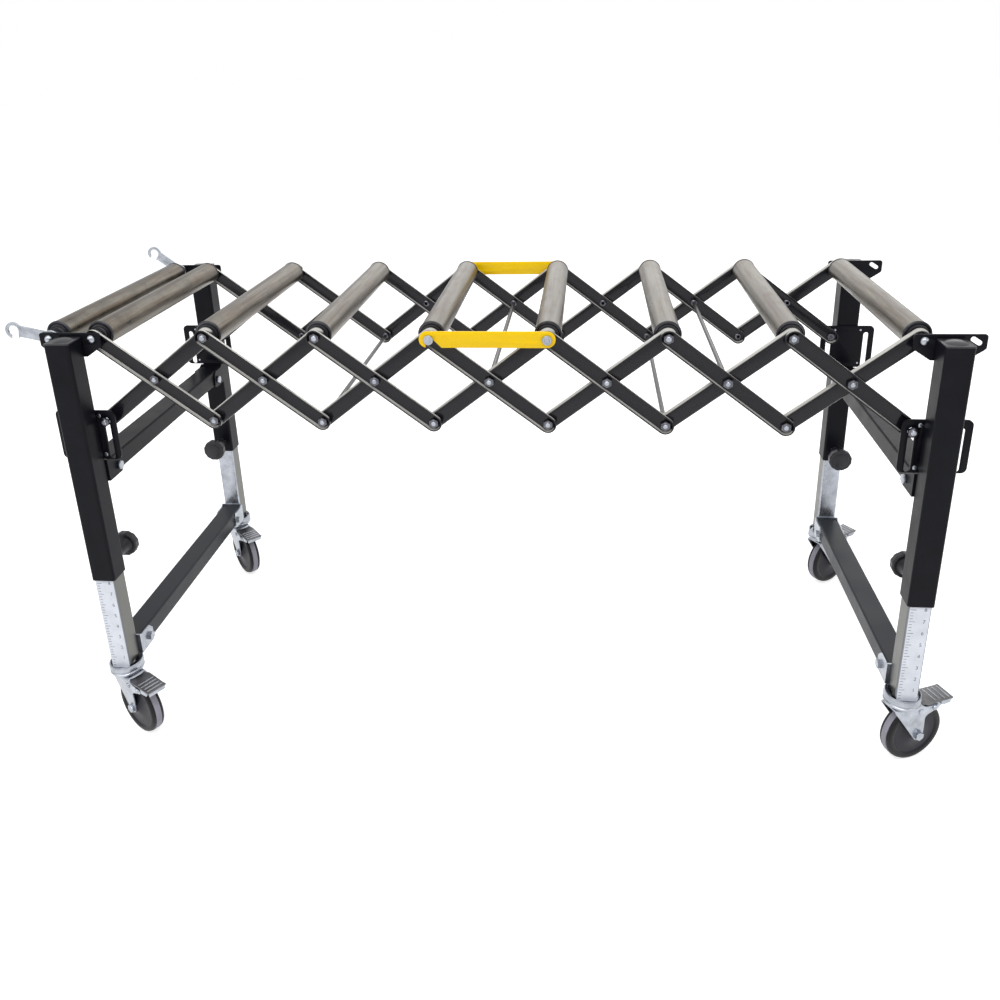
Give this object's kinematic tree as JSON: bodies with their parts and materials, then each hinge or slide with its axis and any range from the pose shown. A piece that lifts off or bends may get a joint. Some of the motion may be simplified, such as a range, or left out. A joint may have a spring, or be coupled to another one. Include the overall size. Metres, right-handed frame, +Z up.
{
  "type": "flexible roller conveyor",
  "caption": "Folding roller conveyor: rollers carried on a scissor lattice of channel links between two stands with telescopic legs and braked swivel casters.",
  "frame": {"origin": "on the floor, under the middle of the object's box", "axes": "+X along the row towards the end with the slotted brackets, +Y from front to rear, across the row, +Z up"},
  "size_m": [1.425, 0.622, 0.7221],
  "materials": {
    "black_paint": "satin powder coat",
    "link_paint": "satin black",
    "zinc": "bright zinc plate",
    "roller_steel": "brushed, zinc plated",
    "caster_steel": "bright zinc plate",
    "black_plastic": "moulded",
    "wheel_rubber": "grey rubber on a plastic core",
    "yellow_paint": "gloss"
  },
  "bodies": {
    "left_stand": {"left_outer_legs": "black_paint", "left_top_brackets": "black_paint", "left_slot_brackets": "black_paint", "left_crossbar": "black_paint", "left_leg_caps": "black_plastic", "left_fasteners": "zinc", "left_axles": "zinc"},
    "right_stand": {"right_outer_legs": "black_paint", "right_top_brackets": "black_paint", "right_slot_brackets": "black_paint", "right_crossbar": "black_paint", "right_leg_caps": "black_plastic", "right_fasteners": "zinc"},
    "left_lower": {"left_inner_legs": "zinc", "left_foot_bar": "black_paint"},
    "right_lower": {"right_inner_legs": "zinc", "right_foot_bar": "black_paint"},
    "down_1": {"down_links_1": "link_paint"},
    "up_1": {"up_links_1": "link_paint"},
    "down_2": {"down_links_2": "link_paint"},
    "up_2": {"up_links_2": "link_paint"},
    "down_3": {"down_links_3": "link_paint"},
    "up_3": {"up_links_3": "link_paint"},
    "down_4": {"down_links_4": "link_paint"},
    "up_4": {"up_links_4": "link_paint"},
    "down_5": {"down_links_5": "link_paint"},
    "up_5": {"up_links_5": "link_paint"},
    "down_6": {"down_links_6": "link_paint"},
    "up_6": {"up_links_6": "link_paint"},
    "down_7": {"down_links_7": "link_paint"},
    "up_7": {"up_links_7": "link_paint"},
    "roller_1": {"roller_1": "roller_steel"},
    "roller_2": {"roller_2": "roller_steel"},
    "roller_3": {"roller_3": "roller_steel"},
    "roller_4": {"roller_4": "roller_steel"},
    "roller_5": {"roller_5": "roller_steel"},
    "roller_6": {"roller_6": "roller_steel"},
    "roller_7": {"roller_7": "roller_steel"},
    "roller_8": {"roller_8": "roller_steel"},
    "roller_9": {"roller_9": "roller_steel"},
    "front_left_knob": {"front_left_knob": "black_plastic"},
    "front_left_fork": {"front_left_fork": "caster_steel"},
    "front_left_wheel": {"front_left_wheel": "wheel_rubber"},
    "front_left_pedal": {"front_left_pedal": "caster_steel"},
    "front_right_knob": {"front_right_knob": "black_plastic"},
    "front_right_fork": {"front_right_fork": "caster_steel"},
    "front_right_wheel": {"front_right_wheel": "wheel_rubber"},
    "front_right_pedal": {"front_right_pedal": "caster_steel"},
    "front_hook": {"front_hook": "zinc"},
    "front_lock": {"front_lock": "yellow_paint"},
    "rear_left_knob": {"rear_left_knob": "black_plastic"},
    "rear_left_fork": {"rear_left_fork": "caster_steel"},
    "rear_left_wheel": {"rear_left_wheel": "wheel_rubber"},
    "rear_left_pedal": {"rear_left_pedal": "caster_steel"},
    "rear_right_knob": {"rear_right_knob": "black_plastic"},
    "rear_right_fork": {"rear_right_fork": "caster_steel"},
    "rear_right_wheel": {"rear_right_wheel": "wheel_rubber"},
    "rear_right_pedal": {"rear_right_pedal": "caster_steel"},
    "rear_hook": {"rear_hook": "zinc"},
    "rear_lock": {"rear_lock": "yellow_paint"}
  },
  "joints": [
    {"name": "fold", "type": "hinge", "parent": "left_stand", "child": "down_1", "pos_m": [-0.57671, -0.0021, 0.675], "axis": [0, 1, 0], "range_deg": [0, 24]},
    {"name": "up_2_at_low_1", "type": "hinge", "parent": "down_1", "child": "up_2", "pos_m": [-0.40921, -0.0021, 0.54505], "axis": [0, 1, 0], "range_deg": [-48, 0]},
    {"name": "down_3_at_top_2", "type": "hinge", "parent": "up_2", "child": "down_3", "pos_m": [-0.24171, -0.0021, 0.675], "axis": [0, 1, 0], "range_deg": [0, 48]},
    {"name": "up_4_at_low_3", "type": "hinge", "parent": "down_3", "child": "up_4", "pos_m": [-0.07421, -0.0021, 0.54505], "axis": [0, 1, 0], "range_deg": [-48, 0]},
    {"name": "down_5_at_top_4", "type": "hinge", "parent": "up_4", "child": "down_5", "pos_m": [0.09329, -0.0021, 0.675], "axis": [0, 1, 0], "range_deg": [0, 48]},
    {"name": "up_6_at_low_5", "type": "hinge", "parent": "down_5", "child": "up_6", "pos_m": [0.26079, -0.0021, 0.54505], "axis": [0, 1, 0], "range_deg": [-48, 0]},
    {"name": "down_7_at_top_6", "type": "hinge", "parent": "up_6", "child": "down_7", "pos_m": [0.42829, -0.0021, 0.675], "axis": [0, 1, 0], "range_deg": [0, 48]},
    {"name": "up_7_at_mid_7", "type": "hinge", "parent": "down_7", "child": "up_7", "pos_m": [0.51204, -0.0021, 0.61002], "axis": [0, 1, 0], "range_deg": [-48, 0]},
    {"name": "right_stand_at_top_7", "type": "hinge", "parent": "up_7", "child": "right_stand", "pos_m": [0.59579, -0.0021, 0.675], "axis": [0, 1, 0], "range_deg": [0, 24]},
    {"name": "up_1_at_mid_1", "type": "hinge", "parent": "down_1", "child": "up_1", "pos_m": [-0.49296, -0.0021, 0.61002], "axis": [0, 1, 0], "range_deg": [-48, 0]},
    {"name": "down_2_at_mid_2", "type": "hinge", "parent": "up_2", "child": "down_2", "pos_m": [-0.32546, -0.0021, 0.61002], "axis": [0, 1, 0], "range_deg": [0, 48]},
    {"name": "up_3_at_mid_3", "type": "hinge", "parent": "down_3", "child": "up_3", "pos_m": [-0.15796, -0.0021, 0.61002], "axis": [0, 1, 0], "range_deg": [-48, 0]},
    {"name": "down_4_at_mid_4", "type": "hinge", "parent": "up_4", "child": "down_4", "pos_m": [0.00954, -0.0021, 0.61002], "axis": [0, 1, 0], "range_deg": [0, 48]},
    {"name": "up_5_at_mid_5", "type": "hinge", "parent": "down_5", "child": "up_5", "pos_m": [0.17704, -0.0021, 0.61002], "axis": [0, 1, 0], "range_deg": [-48, 0]},
    {"name": "down_6_at_mid_6", "type": "hinge", "parent": "up_6", "child": "down_6", "pos_m": [0.34454, -0.0021, 0.61002], "axis": [0, 1, 0], "range_deg": [0, 48]},
    {"name": "roller_1_spin", "type": "hinge", "parent": "left_stand", "child": "roller_1", "pos_m": [-0.64271, -0.0021, 0.675], "axis": [0, 1, 0], "continuous": true},
    {"name": "roller_2_spin", "type": "hinge", "parent": "left_stand", "child": "roller_2", "pos_m": [-0.57671, -0.0021, 0.675], "axis": [0, 1, 0], "continuous": true},
    {"name": "roller_3_spin", "type": "hinge", "parent": "up_1", "child": "roller_3", "pos_m": [-0.40921, -0.0021, 0.675], "axis": [0, 1, 0], "continuous": true},
    {"name": "roller_4_spin", "type": "hinge", "parent": "up_2", "child": "roller_4", "pos_m": [-0.24171, -0.0021, 0.675], "axis": [0, 1, 0], "continuous": true},
    {"name": "roller_5_spin", "type": "hinge", "parent": "up_3", "child": "roller_5", "pos_m": [-0.07421, -0.0021, 0.675], "axis": [0, 1, 0], "continuous": true},
    {"name": "roller_6_spin", "type": "hinge", "parent": "up_4", "child": "roller_6", "pos_m": [0.09329, -0.0021, 0.675], "axis": [0, 1, 0], "continuous": true},
    {"name": "roller_7_spin", "type": "hinge", "parent": "up_5", "child": "roller_7", "pos_m": [0.26079, -0.0021, 0.675], "axis": [0, 1, 0], "continuous": true},
    {"name": "roller_8_spin", "type": "hinge", "parent": "up_6", "child": "roller_8", "pos_m": [0.42829, -0.0021, 0.675], "axis": [0, 1, 0], "continuous": true},
    {"name": "roller_9_spin", "type": "hinge", "parent": "right_stand", "child": "roller_9", "pos_m": [0.59579, -0.0021, 0.675], "axis": [0, 1, 0], "continuous": true},
    {"name": "left_leg_slide", "type": "slide", "parent": "left_stand", "child": "left_lower", "axis": [0, 0, 1], "range_m": [-0.19, 0.115]},
    {"name": "right_leg_slide", "type": "slide", "parent": "right_stand", "child": "right_lower", "axis": [0, 0, 1], "range_m": [-0.19, 0.115]},
    {"name": "front_left_knob_turn", "type": "hinge", "parent": "left_stand", "child": "front_left_knob", "pos_m": [-0.60971, -0.20305, 0.309], "axis": [0, 1, 0], "range_deg": [-180, 180]},
    {"name": "front_left_swivel", "type": "hinge", "parent": "left_lower", "child": "front_left_fork", "pos_m": [-0.60971, -0.25205, 0.11], "axis": [0, 0, 1], "continuous": true},
    {"name": "front_left_wheel_spin", "type": "hinge", "parent": "front_left_fork", "child": "front_left_wheel", "pos_m": [-0.58851, -0.2653, 0.05], "axis": [0.5299, 0.848, 0], "continuous": true},
    {"name": "front_left_pedal_press", "type": "hinge", "parent": "front_left_fork", "child": "front_left_pedal", "pos_m": [-0.56731, -0.27854, 0.095], "axis": [0.5299, 0.848, 0], "range_deg": [0, 12]},
    {"name": "front_right_knob_turn", "type": "hinge", "parent": "right_stand", "child": "front_right_knob", "pos_m": [0.62879, -0.20305, 0.309], "axis": [0, 1, 0], "range_deg": [-180, 180]},
    {"name": "front_right_swivel", "type": "hinge", "parent": "right_lower", "child": "front_right_fork", "pos_m": [0.62879, -0.25205, 0.11], "axis": [0, 0, 1], "continuous": true},
    {"name": "front_right_wheel_spin", "type": "hinge", "parent": "front_right_fork", "child": "front_right_wheel", "pos_m": [0.65163, -0.24188, 0.05], "axis": [-0.4067, 0.9135, 0], "continuous": true},
    {"name": "front_right_pedal_press", "type": "hinge", "parent": "front_right_fork", "child": "front_right_pedal", "pos_m": [0.67447, -0.23171, 0.095], "axis": [-0.4067, 0.9135, 0], "range_deg": [0, 12]},
    {"name": "rear_left_knob_turn", "type": "hinge", "parent": "left_stand", "child": "rear_left_knob", "pos_m": [-0.60971, 0.19885, 0.309], "axis": [0, 1, 0], "range_deg": [-180, 180]},
    {"name": "rear_left_swivel", "type": "hinge", "parent": "left_lower", "child": "rear_left_fork", "pos_m": [-0.60971, 0.24785, 0.11], "axis": [0, 0, 1], "continuous": true},
    {"name": "rear_left_wheel_spin", "type": "hinge", "parent": "rear_left_fork", "child": "rear_left_wheel", "pos_m": [-0.59234, 0.22987, 0.05], "axis": [0.7193, 0.6947, 0], "continuous": true},
    {"name": "rear_left_pedal_press", "type": "hinge", "parent": "rear_left_fork", "child": "rear_left_pedal", "pos_m": [-0.57498, 0.21188, 0.095], "axis": [0.7193, 0.6947, 0], "range_deg": [0, 12]},
    {"name": "rear_right_knob_turn", "type": "hinge", "parent": "right_stand", "child": "rear_right_knob", "pos_m": [0.62879, 0.19885, 0.309], "axis": [0, 1, 0], "range_deg": [-180, 180]},
    {"name": "rear_right_swivel", "type": "hinge", "parent": "right_lower", "child": "rear_right_fork", "pos_m": [0.62879, 0.24785, 0.11], "axis": [0, 0, 1], "continuous": true},
    {"name": "rear_right_wheel_spin", "type": "hinge", "parent": "rear_right_fork", "child": "rear_right_wheel", "pos_m": [0.64902, 0.26255, 0.05], "axis": [-0.5878, 0.809, 0], "continuous": true},
    {"name": "rear_right_pedal_press", "type": "hinge", "parent": "rear_right_fork", "child": "rear_right_pedal", "pos_m": [0.66924, 0.27724, 0.095], "axis": [-0.5878, 0.809, 0], "range_deg": [0, 12]},
    {"name": "front_hook_swing", "type": "hinge", "parent": "left_stand", "child": "front_hook", "pos_m": [-0.64271, -0.0021, 0.675], "axis": [0, 1, 0], "range_deg": [-100, 130]},
    {"name": "rear_hook_swing", "type": "hinge", "parent": "left_stand", "child": "rear_hook", "pos_m": [-0.64271, -0.0021, 0.675], "axis": [0, 1, 0], "range_deg": [-125, 105]},
    {"name": "front_lock_lift", "type": "hinge", "parent": "down_5", "child": "front_lock", "pos_m": [0.09329, -0.0021, 0.675], "axis": [0, 1, 0], "range_deg": [0, 120]},
    {"name": "rear_lock_lift", "type": "hinge", "parent": "up_3", "child": "rear_lock", "pos_m": [-0.07421, -0.0021, 0.675], "axis": [0, -1, 0], "range_deg": [0, 120]}
  ],
  "couplings": [
    {"joint": "up_2_at_low_1", "follows": "fold", "ratio": -2},
    {"joint": "down_3_at_top_2", "follows": "fold", "ratio": 2},
    {"joint": "up_4_at_low_3", "follows": "fold", "ratio": -2},
    {"joint": "down_5_at_top_4", "follows": "fold", "ratio": 2},
    {"joint": "up_6_at_low_5", "follows": "fold", "ratio": -2},
    {"joint": "down_7_at_top_6", "follows": "fold", "ratio": 2},
    {"joint": "up_7_at_mid_7", "follows": "fold", "ratio": -2},
    {"joint": "right_stand_at_top_7", "follows": "fold", "ratio": 1},
    {"joint": "up_1_at_mid_1", "follows": "fold", "ratio": -2},
    {"joint": "down_2_at_mid_2", "follows": "fold", "ratio": 2},
    {"joint": "up_3_at_mid_3", "follows": "fold", "ratio": -2},
    {"joint": "down_4_at_mid_4", "follows": "fold", "ratio": 2},
    {"joint": "up_5_at_mid_5", "follows": "fold", "ratio": -2},
    {"joint": "down_6_at_mid_6", "follows": "fold", "ratio": 2}
  ]
}
